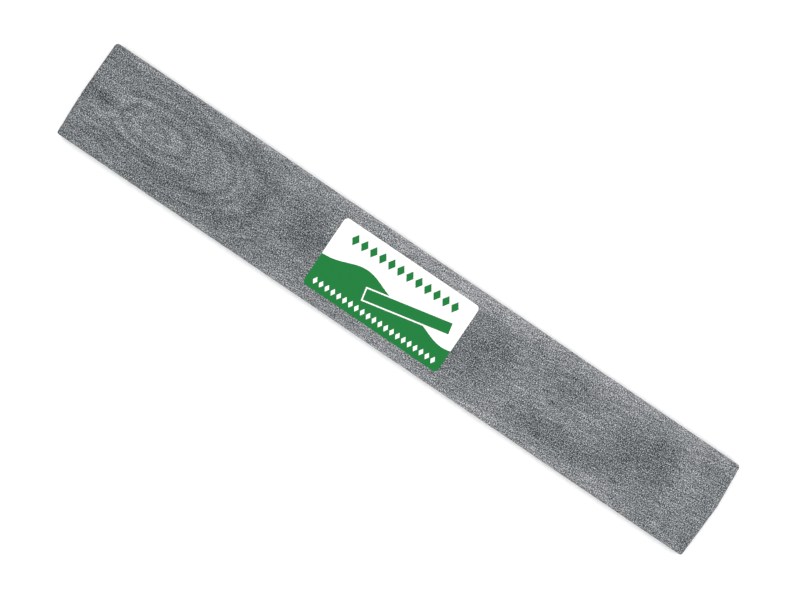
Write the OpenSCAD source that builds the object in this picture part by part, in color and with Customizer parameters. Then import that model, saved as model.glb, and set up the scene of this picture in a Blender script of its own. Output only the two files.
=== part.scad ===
// Sharpening whetstone: a bar of natural stone with a printed paper label on its top face.
// The bar lies along X with its base on z = 0, and the origin is at the middle of the base.
// The near end is at -X and the far end at +X. The left side is +Y and the right side is -Y.
// The label reads upright from the right side.

/* [Stone bar] */
// Length of the bar from end to end
bar_length = 230; // [140:1:300]
// Width of the bar at its near end
bar_width = 33; // [32:0.5:60]
// Thickness of the bar
bar_thickness = 15; // [8:0.5:30]
// How much narrower the bar is at its far end
width_loss = 0.4; // [0:0.1:2]
// How far back the narrow flats that break the sharp edges reach on each face
edge_break = 0.4; // [0.1:0.1:1]

/* [Near end] */
// Where across the bar the near end stands furthest out
near_crest = -2.4; // [-8:0.1:8]
// How far the left corner stands back from that crest
near_left_back = 0.3; // [0.1:0.1:3]
// How far the right corner stands back from that crest
near_right_back = 0.6; // [0.1:0.1:3]
// Radius of the left corner, seen from above
near_left_radius = 1.2; // [0.2:0.1:3]
// Radius of the right corner, seen from above
near_right_radius = 0.5; // [0.2:0.1:3]

/* [Far end] */
// Where across the bar the far end stands furthest out
far_crest = 1.5; // [-8:0.1:8]
// How far the left corner stands back from that crest
far_left_back = 1.1; // [0.1:0.1:3]
// How far the right corner stands back from that crest
far_right_back = 0.8; // [0.1:0.1:3]
// Radius of the left corner, seen from above
far_left_radius = 0.8; // [0.2:0.1:3]
// Radius of the right corner, seen from above
far_right_radius = 0.3; // [0.2:0.1:3]

/* [Label] */
// Length of the label along the bar
label_length = 49; // [46:0.5:60]
// Height of the label across the bar
label_height = 24; // [23:0.5:25]
// Radius of the label's corners
label_radius = 1.4; // [0.8:0.1:3]
// Middle of the label along the bar
label_x = -2.9; // [-30:0.1:30]
// Middle of the label across the bar
label_y = -0.2; // [-0.5:0.1:0.5]
// Thickness of the adhesive coat
adhesive_thickness = 0.05; // [0.03:0.01:0.1]
// Thickness of the paper
sheet_thickness = 0.12; // [0.08:0.01:0.3]
// Thickness of the printed ink
ink_thickness = 0.03; // [0.02:0.01:0.05]
// How far the adhesive stops short of the paper's edge
adhesive_setback = 0.15; // [0.05:0.05:0.4]

/* [Printed field] */
// Mean height of the field's wavy top edge, from the label's middle
field_level = -1.2; // [-2:0.1:-0.5]
// Height of the long swell in that edge
swell = 2.6; // [1:0.1:3]
// Height of the short ripple in that edge
ripple = 0.8; // [0:0.1:1]
// Where along the label the edge stands highest
swell_x = -10; // [-14:0.5:0]

/* [Printed diamonds] */
// Number of green diamonds in the row at the top
top_count = 12; // [6:1:13]
// Distance between them
top_pitch = 3.3; // [3:0.1:3.5]
// Length of each along the label
top_length = 2.6; // [1:0.1:2.8]
// Height of each
top_height = 3.9; // [2:0.1:4.5]
// Height of the row's middle above the label's middle
top_level = 7.7; // [7:0.1:9]
// Number of unprinted diamonds in the row at the bottom
bottom_count = 21; // [8:1:21]
// Distance between them
bottom_pitch = 2.15; // [1.9:0.05:2.2]
// Length of each along the label
bottom_length = 1.5; // [0.6:0.1:1.7]
// Height of each
bottom_height = 2.4; // [1:0.1:2.8]
// Height of the row's middle, from the label's middle
bottom_level = -9.3; // [-9.6:0.1:-9]

/* [Printed picture of a plain bar] */
// Length of the drawn bar
picture_length = 28; // [16:0.5:30]
// Thickness of the drawn bar
picture_width = 3.6; // [2:0.1:4]
// Slope of the drawn bar in degrees
picture_slope = 12; // [0:0.5:14]
// Thickness of the unprinted line round the drawn bar
line_width = 0.45; // [0.3:0.05:0.6]

/* [Hidden] */
$fn = 64;

stone_color = [0.49, 0.51, 0.52];
adhesive_color = [0.86, 0.84, 0.74];
paper_color = [0.98, 0.98, 0.97];
ink_color = [0.16, 0.52, 0.26];

half_length = bar_length / 2;
near_half_width = bar_width / 2;
far_half_width = (bar_width - width_loss) / 2;

// The bar's six corners seen from above, anticlockwise from the near end's left corner.
corners = [
    [-half_length + near_left_back, near_half_width],
    [-half_length, near_crest],
    [-half_length + near_right_back, -near_half_width],
    [half_length - far_right_back, -far_half_width],
    [half_length, far_crest],
    [half_length - far_left_back, far_half_width]
];
// The crests of the two ends stay sharp, so their radius is 0.
corner_radii = [near_left_radius, 0, near_right_radius, far_right_radius, 0, far_left_radius];

adhesive_z = bar_thickness;
sheet_z = adhesive_z + adhesive_thickness;
ink_z = sheet_z + sheet_thickness;

swell_length = 62;
ripple_length = 21;
wave_step = 1;
overrun = 2;
picture_middle = [7, -1.4];

function unit(v) = v / norm(v);
function half_angle(a, p, b) = acos(unit(a - p) * unit(b - p)) / 2;
function bisector(a, p, b) = unit(unit(a - p) + unit(b - p));
function field_edge(x) = field_level
    + swell * cos(360 * (x - swell_x) / swell_length)
    + ripple * cos(360 * (x - swell_x) / ripple_length);

// What rounding takes off the sharp corner p between its neighbours a and b.
module corner_waste(a, p, b, radius) {
    half = half_angle(a, p, b);
    inward = bisector(a, p, b);
    center = inward * radius / sin(half);
    reach = radius / tan(half);
    translate(p)
        difference() {
            polygon([-inward * radius, unit(a - p) * reach, center, unit(b - p) * reach]);
            translate(center) circle(radius);
        }
}

module bar_outline() {
    count = len(corners);
    difference() {
        polygon(corners);
        for (i = [0 : count - 1])
            if (corner_radii[i] > 0)
                corner_waste(corners[(i + count - 1) % count], corners[i], corners[(i + 1) % count],
                             corner_radii[i]);
    }
}

// A long square rod turned on its corner: it takes the sharp edge off the side from a to b.
module edge_waste(a, b, z) {
    along = b - a;
    translate([a.x, a.y, z])
        rotate([0, 0, atan2(along.y, along.x)])
            translate([-overrun, 0, 0])
                rotate([45, 0, 0])
                    translate([0, -edge_break / sqrt(2), -edge_break / sqrt(2)])
                        cube([norm(along) + 2 * overrun, edge_break * sqrt(2), edge_break * sqrt(2)]);
}

module rounded_rectangle(length, height, radius) {
    square([length - 2 * radius, height], center = true);
    square([length, height - 2 * radius], center = true);
    for (x = [-1, 1], y = [-1, 1])
        translate([x * (length / 2 - radius), y * (height / 2 - radius)]) circle(radius);
}

// A row of diamonds, centred on the label.
module diamond_row(count, pitch, length, height, level) {
    for (i = [0 : count - 1])
        translate([(i - (count - 1) / 2) * pitch, level])
            polygon([[-length / 2, 0], [0, -height / 2], [length / 2, 0], [0, height / 2]]);
}

// The drawn bar; grow widens it by the unprinted line round it.
module picture_outline(grow = 0) {
    translate(picture_middle)
        rotate(picture_slope)
            square([picture_length + 2 * grow, picture_width + 2 * grow], center = true);
}

// The part of the label below the wavy edge.
module field_outline() {
    reach = label_length / 2 + wave_step;
    intersection() {
        rounded_rectangle(label_length, label_height, label_radius);
        polygon(concat(
            [[-reach, -label_height], [reach, -label_height]],
            [for (x = [reach : -wave_step : -reach]) [x, field_edge(x)]]
        ));
    }
}

// Lays a flat shape on the label as a layer from z upwards.
module label_layer(z, thickness) {
    translate([label_x, label_y, z])
        linear_extrude(thickness) children();
}

module stone_bar() {
    count = len(corners);
    color(stone_color)
        difference() {
            linear_extrude(bar_thickness) bar_outline();
            for (i = [0 : count - 1], z = [0, bar_thickness])
                edge_waste(corners[i], corners[(i + 1) % count], z);
        }
}

module label_adhesive() {
    inset = 2 * adhesive_setback;
    color(adhesive_color)
        label_layer(adhesive_z, adhesive_thickness)
            rounded_rectangle(label_length - inset, label_height - inset, label_radius - adhesive_setback);
}

module label_sheet() {
    color(paper_color)
        label_layer(sheet_z, sheet_thickness)
            rounded_rectangle(label_length, label_height, label_radius);
}

module ink_field() {
    color(ink_color)
        label_layer(ink_z, ink_thickness)
            difference() {
                field_outline();
                diamond_row(bottom_count, bottom_pitch, bottom_length, bottom_height, bottom_level);
                picture_outline(line_width);
            }
}

module ink_diamonds() {
    color(ink_color)
        label_layer(ink_z, ink_thickness)
            diamond_row(top_count, top_pitch, top_length, top_height, top_level);
}

module ink_picture() {
    color(ink_color)
        label_layer(ink_z, ink_thickness)
            picture_outline();
}

stone_bar();
label_adhesive();
label_sheet();
ink_field();
ink_diamonds();
ink_picture();
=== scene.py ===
import math

import bmesh
import bpy
import numpy as np
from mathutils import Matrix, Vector, noise


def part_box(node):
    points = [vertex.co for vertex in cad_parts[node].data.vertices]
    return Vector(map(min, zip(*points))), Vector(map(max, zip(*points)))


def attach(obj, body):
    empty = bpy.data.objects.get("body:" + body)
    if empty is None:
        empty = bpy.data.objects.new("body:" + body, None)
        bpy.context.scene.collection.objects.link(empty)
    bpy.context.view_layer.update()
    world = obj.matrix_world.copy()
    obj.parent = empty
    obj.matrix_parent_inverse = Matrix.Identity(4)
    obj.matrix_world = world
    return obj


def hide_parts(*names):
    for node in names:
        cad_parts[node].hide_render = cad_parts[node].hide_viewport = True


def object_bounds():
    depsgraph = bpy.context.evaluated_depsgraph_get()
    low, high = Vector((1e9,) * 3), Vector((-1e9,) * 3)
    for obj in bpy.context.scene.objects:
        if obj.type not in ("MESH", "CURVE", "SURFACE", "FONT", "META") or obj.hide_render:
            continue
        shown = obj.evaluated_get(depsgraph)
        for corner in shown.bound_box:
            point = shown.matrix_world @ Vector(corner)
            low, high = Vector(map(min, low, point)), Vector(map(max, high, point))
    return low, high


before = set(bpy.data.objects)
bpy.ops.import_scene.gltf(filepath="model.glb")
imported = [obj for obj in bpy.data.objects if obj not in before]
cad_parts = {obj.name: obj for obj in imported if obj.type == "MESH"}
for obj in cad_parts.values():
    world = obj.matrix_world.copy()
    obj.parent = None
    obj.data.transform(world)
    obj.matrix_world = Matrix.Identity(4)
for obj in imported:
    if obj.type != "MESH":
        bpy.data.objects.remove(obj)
cad_low, cad_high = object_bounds()

MM = 0.001

# The view: straight down on the bar.
ROLL_DEG = 34.15            # the bar lies this far off the picture's horizontal
FRAME_TO_LENGTH = 1.0537    # picture width over bar length
VIEW_SHIFT = 0.2 * MM       # how far along the bar from its middle the camera stands
LENS_MM = 150
SENSOR_MM = 36

# The studio. Each lamp has a name, a place, the side of its square and its power in watts.
ROOM_LIGHT = 0.2925
LAMPS = (("overhead_softbox", (0.0, 0.02, 1.7), 0.5, 28.1),
         ("left_softbox", (-1.2, 1.0, 1.2), 0.6, 2.8),
         ("right_softbox", (1.3, -0.9, 1.2), 0.6, 1.7))
FLOOR_REACH = 4.0
FLOOR_WHITE = 0.97

# How bright an all-white level surface comes out, and how a display level turns into light.
WHITE_LEVEL = 1.35
DISPLAY_GAMMA = 2.2
DARKEST_LEVEL = 0.02

# The net that the stone's faces are cut into: its steps along X, Y and Z, and its extra lines
# beside the arrises.
NET_STEPS = (0.5 * MM, 0.9 * MM, 0.9 * MM)
ARRIS_LINES = (0.26 * MM, 0.5 * MM, 0.8 * MM, 1.2 * MM, 1.7 * MM)
SHORTEST_EDGE = 0.02 * MM

# How the bar's walls are told from the rest of its CAD faces: by their area, and by how much of
# their normal is along an axis. Faces within the angle count as one.
SAME_FACE_DEG = 0.3
SMALLEST_WALL = 100 * MM * MM
WALL_FACING = 0.9

# Places of three walls in the list of six, which goes along X, Y and Z with the lower one first.
NEAR_END, BASE, TOP = 0, 4, 5

# The arrises: the radius that they are rubbed to, and the waves and ripples of its change.
ARRIS_RADIUS = 0.85 * MM
ARRIS_RADIUS_CHANGE = 0.35 * MM
ARRIS_WAVES_PER_M = 45
ARRIS_RIPPLES_PER_M = 420
ARRIS_RIPPLE_SHARE = 0.5

# The chips out of the arrises. The size's power makes most of them small, and the depth's power, being
# under 1, makes their edges steep. Each is squashed along each axis by a random factor.
CHIP_COUNT = 170
CHIP_WIDTHS = (0.5 * MM, 1.6 * MM)
CHIP_DEPTHS = (0.5 * MM, 2.2 * MM)
CHIP_SIZE_POWER = 3
CHIP_DEPTH_POWER = 0.7
CHIP_SQUASH = (0.7, 1.4)

# The hollows of the flat faces (top and base) and of the sides and ends. They fade out behind the
# face, and beside the label.
FLAT_HOLLOWS = 0.05 * MM
FLAT_WAVES_PER_M = 28
SIDE_HOLLOWS = 0.13 * MM
SIDE_WAVES_PER_M = 40
RIPPLES_PER_M = 160
RIPPLE_SHARE = 0.3
HOLLOW_REACH = 3 * MM
LABEL_MARGIN = 4 * MM

# The nick in the near end: its place across the bar, and how far it reaches in.
NICK_Y = -3.3 * MM
NICK_HALF_WIDTH = 0.5 * MM
NICK_DEPTH = 0.2 * MM
NICK_REACH = 2 * MM

# Every noise of the shape has a seed, which moves it by these steps.
RANDOM_SEED = 7
ARRIS_WAVE_SEED = 1
ARRIS_RIPPLE_SEED = 2
FIRST_WAVE_SEED = 10
FIRST_RIPPLE_SEED = 20
SEED_STEPS = (13.7, 5.1, 9.3)

# The map that the export bakes on: the gap between its pieces, how much larger it has the top than
# the rest, how far apart it has the two ends in widths of the bar, and how near the seam in the top
# the net may have another line.
MAP_GUTTER = 0.008
TOP_ZOOM = 2
ENDS_APART = 1.3
SEAM_GAP = 0.15 * MM

# From here to the first function: the stone's pattern. Lengths are in millimetres, places are as in
# the CAD frame, and levels are display levels of 0 to 1, or changes of one.
STONE_LEVEL = 0.480
BAR_TOP = 15.0
BEDDING_DEG = 8
SCRATCH_DEG = 10.5
SKIN_FACING = 0.71          # a face looks along an axis when its normal has more than this along it

# The nested beds, which the top cuts in ovals: their middle, how much longer than wide they are on
# its far and near side, and how far from it on each side they begin to run straight along the bar.
# The doming makes them that much wider for each millimetre down. They come in between two places
# along the bar, from RINGS_FROM to RINGS_TO.
RING_CENTRE = (-89.0, 0.5, BAR_TOP)
RING_STRETCH_FAR = 2.45
RING_STRETCH_NEAR = 2.2
RING_FAR_LIMIT = 42.0
RING_NEAR_LIMIT = 14.0
RING_DOMING = 1.4
RINGS_FROM, RINGS_TO = -25, -60
RING_CONTRAST = 0.14
RING_OFFSET = -0.019
RING_REACH = 16.0
# Levels of the rings, from the middle out, one for every 0.64 mm across the bar.
RING_TONES = (
    0.70, 0.62, 0.55, 0.60, 0.78, 0.80, 0.68, 0.20, 0.58, 0.22, 0.66, 0.70, 0.35,
    0.60, 0.42, 0.30, 0.62, 0.55, 0.35, 0.60, 0.50, 0.40, 0.62, 0.45, 0.55, 0.50,
)

# Broad patches of the stone: middle x and y, half length, half height, and change of level.
PATCHES = (
    (-89, 0.5, 13, 6, 0.03), (-112, 0.8, 8, 2, -0.08), (-108, 5.7, 9, 1, 0.05), (-110, -4.4, 7, 1, 0.07),
    (-64, 1, 10, 7, 0.035), (-51, 1.5, 5, 9, -0.06), (-36, 1, 9, 8, -0.07), (-47, 10.5, 8, 3, 0.06),
    (-70, 8.5, 24, 2, -0.045), (-76, -8.5, 36, 2.5, -0.05), (-60, -12, 30, 2.5, -0.02),
    (-75, 16, 45, 3, 0.025), (25, 16, 90, 5, 0.09), (30, -16, 75, 4, 0.06), (30, 1, 13, 7.5, -0.055),
    (47, 1, 11, 8, 0.035), (57, -8.5, 14, 4, -0.06), (59, 7.5, 9, 5, -0.03), (70, 1, 9, 6, 0.03),
    (90, 2, 13, 9, -0.06), (78, -8, 14, 4, -0.03), (79, -13, 5, 3.5, 0.05), (102, 0, 4, 13, 0.045),
    (102, -13, 1.5, 1.5, 0.10),
)
PATCH_DEPTH = 12.5          # half height of every patch, downwards from the top
PATCH_EDGE = (1.5, 0.2)     # a patch comes in between these distances, in half sizes from its middle

# The arrises' skin is lighter where it is worn. The extra lightness on the left is a painted highlight,
# and the darkening at the near end is painted shade. Each change comes in between two distances
# from the arris, or two places across or along the bar.
RIM_LEVEL = 0.05
RIM_EDGE = (0.7, 0.1)
# Painted highlight: the left arrises are made lighter, as if lit from that side.
LEFT_RIM_PAINTED_HIGHLIGHT = 0.02
PAINTED_HIGHLIGHT_EDGE = (10, 16)
# Painted shade: the arrises at the near end are made darker.
NEAR_END_PAINTED_SHADE = -0.07
PAINTED_SHADE_EDGE = (-113.5, -114.6)

# The stone's tint: how far red and blue are off green. Red has less of a gap on the light patches.
RED_SHORT = -0.016
RED_GAIN = 0.011
RED_LEVELS = (0.47, 0.59)
BLUE_EXTRA = 0.0125


# ---------------------------------------------------------------- camera, lights, floor

def make_camera():
    """Straight above the bar, rolled so that the bar lies across the picture's diagonal."""
    low, high = cad_low, cad_high
    camera = bpy.data.cameras.new("camera")
    camera.lens = LENS_MM
    camera.sensor_width = SENSOR_MM
    camera.clip_start = 0.05
    camera.clip_end = 50
    rig = bpy.data.objects.new("camera", camera)
    bpy.context.scene.collection.objects.link(rig)
    distance = LENS_MM / SENSOR_MM * FRAME_TO_LENGTH * (high.x - low.x)
    rig.location = ((low.x + high.x) / 2 + VIEW_SHIFT, (low.y + high.y) / 2, high.z + distance)
    rig.rotation_euler = (0, 0, math.radians(ROLL_DEG))
    bpy.context.scene.camera = rig


def make_lamp(name, place, side, power):
    """A square lamp that faces the middle of the bar's base."""
    lamp = bpy.data.lights.new(name, "AREA")
    lamp.shape = "SQUARE"
    lamp.size = side
    lamp.energy = power
    rig = bpy.data.objects.new(name, lamp)
    bpy.context.scene.collection.objects.link(rig)
    rig.location = place
    rig.rotation_mode = "QUATERNION"
    rig.rotation_quaternion = (-Vector(place)).to_track_quat("-Z", "Y")


def make_studio():
    """A white room with one large soft box overhead, and a weaker one to each side."""
    world = bpy.data.worlds.new("studio")
    world.use_nodes = True
    background = world.node_tree.nodes["Background"]
    background.inputs["Color"].default_value = (1, 1, 1, 1)
    background.inputs["Strength"].default_value = ROOM_LIGHT
    bpy.context.scene.world = world
    for name, place, side, power in LAMPS:
        make_lamp(name, place, side, power)
    bpy.context.scene.view_settings.view_transform = "Standard"


def make_floor():
    mesh = bpy.data.meshes.new("floor")
    r = FLOOR_REACH
    mesh.from_pydata([(-r, -r, 0), (r, -r, 0), (r, r, 0), (-r, r, 0)], [], [(0, 1, 2, 3)])
    floor = bpy.data.objects.new("floor", mesh)
    bpy.context.scene.collection.objects.link(floor)
    floor.location.z = cad_low.z
    paint = Shader("floor_paint", roughness=0.9, specular=0.0)
    paint.colour((FLOOR_WHITE, FLOOR_WHITE, FLOOR_WHITE, 1))
    mesh.materials.append(paint.material)


# ---------------------------------------------------------------- node helpers

class Shader:
    """A material's node tree, with short calls for the nodes used here."""

    def __init__(self, name, roughness, specular):
        self.material = bpy.data.materials.new(name)
        self.material.use_nodes = True
        self.tree = self.material.node_tree
        self.bsdf = self.tree.nodes["Principled BSDF"]
        self.bsdf.inputs["Roughness"].default_value = roughness
        self.bsdf.inputs["Specular IOR Level"].default_value = specular

    def link(self, value, socket):
        if isinstance(value, bpy.types.NodeSocket):
            self.tree.links.new(value, socket)
        else:
            socket.default_value = value

    def colour(self, value):
        self.link(value, self.bsdf.inputs["Base Color"])

    def roughness(self, value):
        self.link(value, self.bsdf.inputs["Roughness"])

    def place(self):
        """Position on the object in millimetres."""
        coordinate = self.tree.nodes.new("ShaderNodeTexCoord")
        return self.vector("SCALE", coordinate.outputs["Object"], scale=1 / MM)

    def math(self, operation, a, b=0.0, c=0.0):
        node = self.tree.nodes.new("ShaderNodeMath")
        node.operation = operation
        for value, socket in zip((a, b, c), node.inputs):
            self.link(value, socket)
        return node.outputs[0]

    def vector(self, operation, a, b=(0, 0, 0), scale=None):
        node = self.tree.nodes.new("ShaderNodeVectorMath")
        node.operation = operation
        self.link(a, node.inputs[0])
        if scale is None:
            self.link(b, node.inputs[1])
        else:
            self.link(scale, node.inputs["Scale"])
        return node.outputs["Value" if operation == "LENGTH" else "Vector"]

    def turned(self, vector, degrees, along):
        """The vector turned about Z, with its X scaled so that noise on it runs in that direction."""
        turn = self.tree.nodes.new("ShaderNodeVectorRotate")
        turn.rotation_type = "Z_AXIS"
        self.link(vector, turn.inputs["Vector"])
        turn.inputs["Angle"].default_value = math.radians(-degrees)
        return self.vector("MULTIPLY", turn.outputs[0], (along, 1, 1))

    def noise(self, vector, scale, detail=0.0, rough=0.5, strength=1.0, flat=False):
        """Noise from about -strength to strength, with a mean of 0. Flat noise ignores the vector's Z."""
        node = self.tree.nodes.new("ShaderNodeTexNoise")
        node.noise_dimensions = "2D" if flat else "3D"
        self.link(vector, node.inputs["Vector"])
        node.inputs["Scale"].default_value = scale
        node.inputs["Detail"].default_value = detail
        node.inputs["Roughness"].default_value = rough
        return self.times(self.math("MULTIPLY_ADD", node.outputs[0], 2.0, -1.0), strength)

    def cells(self, vector, scale, strength=1.0):
        """A random level of -strength to strength for each cell of a flat cellular pattern."""
        node = self.tree.nodes.new("ShaderNodeTexVoronoi")
        node.voronoi_dimensions = "2D"
        self.link(vector, node.inputs["Vector"])
        node.inputs["Scale"].default_value = scale
        level = self.split(node.outputs["Color"])[0]
        return self.times(self.math("MULTIPLY_ADD", level, 2.0, -1.0), strength)

    def blend(self, share, a, b):
        """a where share is 0 and b where it is 1."""
        return self.math("MULTIPLY_ADD", self.math("SUBTRACT", b, a), share, a)

    def ramp(self, value, stops):
        """A smooth curve through evenly spaced levels, for a value of 0 to 1."""
        node = self.tree.nodes.new("ShaderNodeValToRGB")
        node.color_ramp.interpolation = "EASE"
        self.link(value, node.inputs["Fac"])
        elements = node.color_ramp.elements
        while len(elements) < len(stops):
            elements.new(0.5)
        for i, (element, level) in enumerate(zip(elements, stops)):
            element.position = i / (len(stops) - 1)
            element.color = (level, level, level, 1)
        return self.split(node.outputs["Color"])[0]

    def step(self, value, start, end):
        """0 up to start, 1 from end on, and smooth between. With start above end it runs downwards."""
        node = self.tree.nodes.new("ShaderNodeMapRange")
        node.interpolation_type = "SMOOTHSTEP"
        self.link(value, node.inputs["Value"])
        node.inputs["From Min"].default_value = start
        node.inputs["From Max"].default_value = end
        return node.outputs[0]

    def times(self, a, b):
        return self.math("MULTIPLY", a, b)

    def total(self, *terms):
        result = terms[0]
        for term in terms[1:]:
            result = self.math("ADD", result, term)
        return result

    def split(self, vector):
        node = self.tree.nodes.new("ShaderNodeSeparateXYZ")
        self.link(vector, node.inputs[0])
        return node.outputs

    def join(self, x, y, z):
        node = self.tree.nodes.new("ShaderNodeCombineXYZ")
        for value, socket in zip((x, y, z), node.inputs):
            self.link(value, socket)
        return node.outputs[0]

    def attribute(self, name):
        node = self.tree.nodes.new("ShaderNodeAttribute")
        node.attribute_name = name
        return node.outputs["Fac"]

    def display_colour(self, level, tint):
        """Colour from a display level of 0 to 1 and the tint's offset of each channel, for a surface
        lit to WHITE_LEVEL."""
        channels = [self.math("ADD", level, offset) for offset in tint]
        node = self.tree.nodes.new("ShaderNodeCombineColor")
        for value, socket in zip(channels, node.inputs):
            self.link(self.math("MAXIMUM", value, DARKEST_LEVEL), socket)
        gamma = self.tree.nodes.new("ShaderNodeGamma")
        self.link(node.outputs[0], gamma.inputs["Color"])
        gamma.inputs["Gamma"].default_value = DISPLAY_GAMMA
        return self.vector("SCALE", gamma.outputs[0], scale=1 / WHITE_LEVEL)

    def bump(self, height, distance):
        """Bump from a height in units of distance, in metres."""
        node = self.tree.nodes.new("ShaderNodeBump")
        self.link(height, node.inputs["Height"])
        node.inputs["Distance"].default_value = distance
        node.inputs["Strength"].default_value = 1.0
        self.link(node.outputs[0], self.bsdf.inputs["Normal"])


# ---------------------------------------------------------------- materials

def ring_distance(s, place):
    """How far out a point lies in the nested beds, in millimetres across the bar. The beds dome up
    under the near third of the bar, so the top face cuts them in ovals that open towards the near end."""
    x, y, z = s.split(s.vector("SUBTRACT", place, RING_CENTRE))
    far_side = s.math("MINIMUM", s.math("MAXIMUM", x, 0.0), RING_FAR_LIMIT)
    near_side = s.math("MINIMUM", s.math("MAXIMUM", s.times(x, -1.0), 0.0), RING_NEAR_LIMIT)
    along = s.total(s.times(far_side, 1 / RING_STRETCH_FAR), s.times(near_side, 1 / RING_STRETCH_NEAR))
    ring = s.vector("LENGTH", s.join(along, y, 0.0))
    depth = s.times(z, -RING_DOMING)
    wander = s.noise(place, scale=0.06, detail=2, strength=0.6)
    wobble = s.noise(s.turned(place, BEDDING_DEG, along=0.2), scale=0.35, detail=1, strength=0.55)
    return s.total(ring, depth, wander, wobble)


def bedding_tone(s, place):
    """Rings in the near third, and broken lines that run with the beds all along the bar."""
    ring = ring_distance(s, place)
    x, y, z = s.split(place)
    near = s.step(x, RINGS_FROM, RINGS_TO)
    ring_level = s.ramp(s.times(ring, 1 / RING_REACH), RING_TONES)
    rings = s.times(s.math("SUBTRACT", ring_level, 0.5), RING_CONTRAST)
    along_ring = s.join(ring, s.times(x, 0.07), 0.0)
    near_lines = s.total(s.noise(along_ring, scale=0.55, detail=1, strength=0.10),
                         s.noise(along_ring, scale=1.5, detail=1, strength=0.06))
    far_lines = s.total(s.noise(s.turned(place, 7, along=0.07), scale=0.6, detail=1, strength=0.045),
                        s.noise(s.turned(place, 10, along=0.07), scale=1.4, detail=1, strength=0.065))
    return s.blend(near, far_lines, s.total(rings, near_lines, RING_OFFSET))


def patch_tone(s, place):
    """Broad light and dark patches with ragged outlines."""
    ragged = s.noise(s.turned(place, 10, along=0.5), scale=0.16, detail=1, strength=0.8)
    tone = 0.0
    for x, y, half_length, half_height, level in PATCHES:
        gap = s.vector("SUBTRACT", place, (x, y, BAR_TOP))
        gap = s.vector("MULTIPLY", gap, (1 / half_length, 1 / half_height, 1 / PATCH_DEPTH))
        inside = s.step(s.total(s.vector("LENGTH", gap), ragged), *PATCH_EDGE)
        tone = s.math("MULTIPLY_ADD", inside, level, tone)
    return tone


def broad_tone(s, place):
    """Display level of the stone's beds, patches and clouds."""
    clouds = s.noise(s.turned(place, 6, along=0.45), scale=0.10, detail=1, strength=0.045)
    return s.total(STONE_LEVEL, bedding_tone(s, place), patch_tone(s, place), clouds)


def skin_place(s, place):
    """A flat position on each face: along and across it."""
    x, y, z = s.split(place)
    normal = s.tree.nodes.new("ShaderNodeNewGeometry").outputs["True Normal"]
    facing = s.split(s.vector("ABSOLUTE", normal))
    on_end = s.math("GREATER_THAN", facing[0], SKIN_FACING)
    on_flat = s.math("GREATER_THAN", facing[2], SKIN_FACING)
    return s.join(s.blend(on_end, x, y), s.blend(on_flat, z, y), 0.0)


def grain_tone(s, skin):
    """Mineral grains: ones drawn out along the bedding, round ones, and finer ones of one level each."""
    drawn_out = s.noise(s.turned(skin, BEDDING_DEG, along=0.10), scale=2.6, detail=1, strength=0.15,
                        flat=True)
    round_grains = s.noise(s.turned(skin, BEDDING_DEG, along=0.75), scale=3.7, strength=0.46, flat=True)
    return s.total(drawn_out, round_grains, s.cells(skin, scale=5.5, strength=0.12))


def scratch_tone(s, skin):
    """Light rubbing scratches, about 8 mm long and 0.4 mm wide."""
    rows = s.cells(s.turned(skin, SCRATCH_DEG, along=0.05), scale=2.4)
    line = s.step(rows, 0.75, 0.95)
    worn = s.step(s.noise(skin, scale=0.12, detail=1), -0.15, 0.2)
    return s.times(s.times(line, worn), 0.065)


def rim_wear_and_painted_light(s, place):
    """Lighter worn arrises, with a painted highlight on the left ones and painted shade at the near end.
    """
    x, y, z = s.split(place)
    # The step across the bar adds a painted highlight on the left; the step at the near end adds painted
    # shade.
    level = s.total(RIM_LEVEL, s.times(s.step(y, *PAINTED_HIGHLIGHT_EDGE), LEFT_RIM_PAINTED_HIGHLIGHT),
                    s.times(s.step(x, *PAINTED_SHADE_EDGE), NEAR_END_PAINTED_SHADE))
    return s.times(s.step(s.attribute("arris_distance"), *RIM_EDGE), level)


def make_stone_material():
    s = Shader("stone", roughness=0.8, specular=0.2)
    place = s.place()
    skin = skin_place(s, place)
    grain = grain_tone(s, skin)
    broad = broad_tone(s, place)
    # The rim term is arris wear plus a painted highlight on the left arrises and painted shade at the near
    # end.
    tone = s.total(broad, grain, scratch_tone(s, skin), rim_wear_and_painted_light(s, place))
    red = s.math("MULTIPLY_ADD", s.step(broad, *RED_LEVELS), RED_GAIN, RED_SHORT)
    s.colour(s.display_colour(tone, (red, 0.0, BLUE_EXTRA)))
    s.roughness(s.math("MULTIPLY_ADD", tone, -0.25, 0.92))
    pits = s.noise(place, scale=4.0, detail=2, rough=0.6, strength=0.5)
    s.bump(s.total(s.times(grain, 3.0), pits), 0.02 * MM)
    return s.material


def make_paper_material():
    s = Shader("label_paper", roughness=0.55, specular=0.15)
    place = s.place()
    fibre = s.noise(place, scale=1.2, detail=3, rough=0.6)
    s.colour(s.display_colour(s.math("MULTIPLY_ADD", fibre, 0.006, 1.07), (0.0, 0.0, -0.003)))
    s.roughness(s.math("MULTIPLY_ADD", fibre, 0.05, 0.55))
    s.bump(s.noise(place, scale=3.0, detail=3, rough=0.6), 0.004 * MM)
    return s.material


def make_ink_material():
    s = Shader("green_ink", roughness=0.62, specular=0.08)
    place = s.place()
    density = s.noise(place, scale=0.9, detail=3, rough=0.65)
    s.colour(s.display_colour(s.times(density, 0.008), (0.125, 0.508, 0.245)))
    s.roughness(s.math("MULTIPLY_ADD", density, 0.06, 0.62))
    s.bump(s.noise(place, scale=2.5, detail=3, rough=0.6), 0.004 * MM)
    return s.material


def make_adhesive_material():
    s = Shader("label_adhesive", roughness=0.35, specular=0.4)
    cloud = s.noise(s.place(), scale=0.6, detail=3, rough=0.6)
    s.colour(s.display_colour(s.math("MULTIPLY_ADD", cloud, 0.02, 0.80), (0.02, 0.0, -0.06)))
    s.roughness(s.math("MULTIPLY_ADD", cloud, 0.08, 0.35))
    return s.material


# ---------------------------------------------------------------- stone geometry

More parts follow.
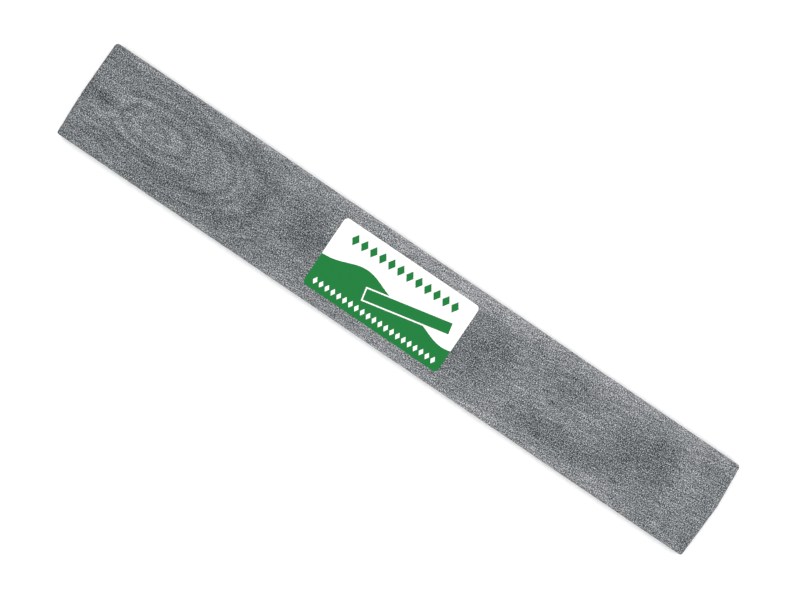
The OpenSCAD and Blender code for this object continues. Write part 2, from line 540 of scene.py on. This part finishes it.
def cuts_between(low, high, step):
    count = max(1, round((high - low) / step))
    return [low + (high - low) * i / count for i in range(1, count)]


def cut_across(work, axis, places):
    """Cuts every face that crosses each plane. Each cut takes only what is past the last one."""
    normal = Vector([1.0 if i == axis else 0.0 for i in range(3)])
    rest = work.verts[:] + work.edges[:] + work.faces[:]
    for place in sorted(places):
        made = bmesh.ops.bisect_plane(work, geom=rest, dist=1e-7, plane_co=normal * place, plane_no=normal)
        faces = [g for g in made["geom"] if isinstance(g, bmesh.types.BMFace)]
        beyond = [f for f in faces if f.calc_center_median()[axis] > place]
        verts = dict.fromkeys(v for f in beyond for v in f.verts)
        edges = dict.fromkeys(e for f in beyond for e in f.edges)
        rest = [*verts, *edges, *beyond]


def netted_mesh(node, steps, lines, seam_x):
    """The CAD node's own shape with its faces cut into a net. Returns the net and the walls' planes."""
    low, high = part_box(node)
    work = bmesh.new()
    work.from_mesh(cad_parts[node].data)
    bmesh.ops.remove_doubles(work, verts=work.verts[:], dist=1e-6)
    bmesh.ops.dissolve_limit(work, angle_limit=math.radians(SAME_FACE_DEG),
                             verts=work.verts[:], edges=work.edges[:])
    planes = [(f.normal.copy(), f.normal.dot(f.verts[0].co))
              for f in work.faces if f.calc_area() > SMALLEST_WALL]
    for axis in (2, 1, 0):
        places = cuts_between(low[axis] + lines[-1], high[axis] - lines[-1], steps[axis])
        places += [low[axis] + e for e in lines] + [high[axis] - e for e in lines]
        if axis == 0:
            places = [p for p in places if abs(p - seam_x) > SEAM_GAP] + [seam_x]
        cut_across(work, axis, places)
    return work, planes


class Walls:
    """The six walls of the bar: how deep each point is behind each, and which way each faces. A wall
    of two planes, such as a pointed end, is at each point the plane nearer to it."""

    def __init__(self, planes, points):
        self.normals = []
        self.depths = []
        for axis in (0, 1, 2):
            for sign in (-1, 1):
                own = [(n, d) for n, d in planes if n[axis] * sign > WALL_FACING]
                depths = np.array([d - points @ np.array(n) for n, d in own])
                nearest = depths.argmin(axis=0)
                self.normals.append(np.array([n for n, d in own])[nearest])
                self.depths.append(depths.min(axis=0))

    def arris_distance(self):
        """How deep each point is behind the wall that is second nearest to it."""
        return np.sort(np.array(self.depths), axis=0)[1]

    def inward(self, side, amounts):
        return -self.normals[side] * amounts[:, None]


def noise_at(points, waves_per_m, seed):
    """Smooth noise of -1 to 1 at each point."""
    offset = Vector([seed * step for step in SEED_STEPS])
    return np.array([noise.noise(Vector(p) * waves_per_m + offset) for p in points])


def chip_places(random, low, high):
    """Points along the bar's twelve arrises, most of them on the long ones."""
    sizes = high - low
    chances = sizes / sizes.sum()
    for _ in range(CHIP_COUNT):
        axis = random.choice(3, p=chances)
        place = low + sizes * (random.random(3) > 0.5)
        place[axis] = low[axis] + sizes[axis] * random.random()
        yield place


def arris_radii(points):
    """How far the arris is rubbed round at each point. A chip is a short stretch of a large radius."""
    random = np.random.default_rng(RANDOM_SEED)
    low, high = points.min(axis=0), points.max(axis=0)
    waves = noise_at(points, ARRIS_WAVES_PER_M, ARRIS_WAVE_SEED)
    ripples = noise_at(points, ARRIS_RIPPLES_PER_M, ARRIS_RIPPLE_SEED)
    radii = ARRIS_RADIUS + ARRIS_RADIUS_CHANGE * (waves + ARRIS_RIPPLE_SHARE * ripples)
    for place in chip_places(random, low, high):
        size = random.random() ** CHIP_SIZE_POWER
        width = CHIP_WIDTHS[0] + (CHIP_WIDTHS[1] - CHIP_WIDTHS[0]) * size
        depth = CHIP_DEPTHS[0] + (CHIP_DEPTHS[1] - CHIP_DEPTHS[0]) * size
        near = np.flatnonzero(np.abs(points - place).max(axis=1) < 2 * width)
        if len(near):
            squash = random.uniform(*CHIP_SQUASH, 3)
            gap = np.linalg.norm((points[near] - place) * squash, axis=1) / width
            radii[near] += depth * np.clip(1 - gap, 0, 1) ** CHIP_DEPTH_POWER
    return radii


def rubbed(points, walls, radii):
    """Moves each point that stands outside the rounded arris back onto it."""
    into = [np.maximum(radii - depth, 0) for depth in walls.depths]
    length = np.sqrt(sum(v * v for v in into))
    excess = np.maximum(length - radii, 0) / np.maximum(length, 1e-9)
    return points + sum(walls.inward(i, v * excess) for i, v in enumerate(into))


def label_distance(points):
    """How far each point is outside the label's rectangle, seen from above."""
    low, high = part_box("label_sheet")
    middle = np.array([(low.x + high.x) / 2, (low.y + high.y) / 2])
    half = np.array([(high.x - low.x) / 2, (high.y - low.y) / 2])
    return np.linalg.norm(np.maximum(np.abs(points[:, :2] - middle) - half, 0), axis=1)


def waved(points, walls):
    """Hollows the walls by up to about a tenth of a millimetre, and nicks the near end."""
    moved = points.copy()
    clear = np.clip(label_distance(points) / LABEL_MARGIN, 0, 1)
    for side, depth in enumerate(walls.depths):
        flat = side in (BASE, TOP)
        amount = FLAT_HOLLOWS if flat else SIDE_HOLLOWS
        waves = noise_at(points, FLAT_WAVES_PER_M if flat else SIDE_WAVES_PER_M, FIRST_WAVE_SEED + side)
        wave = waves + RIPPLE_SHARE * noise_at(points, RIPPLES_PER_M, FIRST_RIPPLE_SEED + side)
        fade = np.clip(1 - depth / HOLLOW_REACH, 0, 1) * (clear if side == TOP else 1)
        moved += walls.inward(side, amount * np.clip(wave, 0, 1) * fade)
    nick = np.clip(1 - np.abs(points[:, 1] - NICK_Y) / NICK_HALF_WIDTH, 0, 1)
    fade = np.clip(1 - walls.depths[NEAR_END] / NICK_REACH, 0, 1)
    moved += walls.inward(NEAR_END, NICK_DEPTH * nick * fade)
    return moved


def merge_near_points(work):
    """Joins points that the rubbing brought together, and takes out the pairs of faces that this
    folds flat."""
    bmesh.ops.triangulate(work, faces=work.faces[:])
    bmesh.ops.remove_doubles(work, verts=work.verts[:], dist=SHORTEST_EDGE)
    work.verts.index_update()
    twins = {}
    for face in work.faces:
        twins.setdefault(frozenset(v.index for v in face.verts), []).append(face)
    folded = [face for group in twins.values() if len(group) > 1 for face in group]
    bmesh.ops.delete(work, geom=folded, context="FACES")


def lay_out(mesh, seam_x):
    """The map that the export bakes on: the top in two halves, then the base, the sides and the ends."""
    low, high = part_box("stone_bar")
    length, width, thickness = high.x - low.x, high.y - low.y, high.z - low.z
    span = length * (1 + 2 * MAP_GUTTER)
    row_start = {}
    start = MAP_GUTTER
    rows = (("top_near", width, TOP_ZOOM), ("top_far", width, TOP_ZOOM), ("base", width, 1),
            ("left", thickness, 1), ("right", thickness, 1), ("ends", thickness, 1))
    for name, height, zoom in rows:
        row_start[name] = start
        start += height * zoom / span + MAP_GUTTER
    co = np.zeros(len(mesh.vertices) * 3)
    mesh.vertices.foreach_get("co", co)
    co = co.reshape(-1, 3)
    uv = np.zeros((len(mesh.loops), 2), np.float32)
    for face in mesh.polygons:
        x, y, z = face.normal
        zoom, along, across, left, bottom = 1, 0, 1, low.x, low.y
        if abs(z) >= max(abs(x), abs(y)):
            if z < 0:
                name = "base"
            elif face.center.x < seam_x:
                name, zoom = "top_near", TOP_ZOOM
            else:
                name, zoom, left = "top_far", TOP_ZOOM, seam_x
        elif abs(y) >= abs(x):
            name = "left" if y > 0 else "right"
            across, bottom = 2, low.z
        else:
            name = "ends"
            along, across, bottom = 1, 2, low.z
            left = low.y if x < 0 else low.y - ENDS_APART * width
        for loop in face.loop_indices:
            place = co[mesh.loops[loop].vertex_index]
            uv[loop] = (MAP_GUTTER + (place[along] - left) * zoom / span,
                        row_start[name] + (place[across] - bottom) * zoom / span)
    mesh.uv_layers.new(name="OFBake").data.foreach_set("uv", uv.ravel())


# ---------------------------------------------------------------- the pieces

def build_stone(material):
    """The worn bar. Its net has a line under the middle of the label, for the map's seam."""
    low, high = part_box("label_sheet")
    seam_x = (low.x + high.x) / 2
    work, planes = netted_mesh("stone_bar", NET_STEPS, ARRIS_LINES, seam_x)
    points = np.array([v.co for v in work.verts])
    walls = Walls(planes, points)
    moved = waved(rubbed(points, walls, arris_radii(points)), walls)
    layer = work.verts.layers.float.new("arris_distance")
    for vertex, place, distance in zip(work.verts, moved, walls.arris_distance() / MM):
        vertex.co = place
        vertex[layer] = distance
    merge_near_points(work)
    mesh = bpy.data.meshes.new("whetstone_bar")
    work.to_mesh(mesh)
    work.free()
    mesh.materials.append(material)
    mesh.shade_smooth()
    lay_out(mesh, seam_x)
    piece = bpy.data.objects.new("whetstone_bar", mesh)
    bpy.context.scene.collection.objects.link(piece)
    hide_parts("stone_bar")
    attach(piece, "root")


def coat_label():
    """The label's nodes keep their CAD shapes, and get the materials of this script."""
    ink = make_ink_material()
    coats = {"label_sheet": make_paper_material(), "label_adhesive": make_adhesive_material(),
             "ink_field": ink, "ink_diamonds": ink, "ink_picture": ink}
    for node, material in coats.items():
        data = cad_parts[node].data
        data.materials.clear()
        data.materials.append(material)


def main():
    make_camera()
    make_studio()
    make_floor()
    build_stone(make_stone_material())
    coat_label()


main()
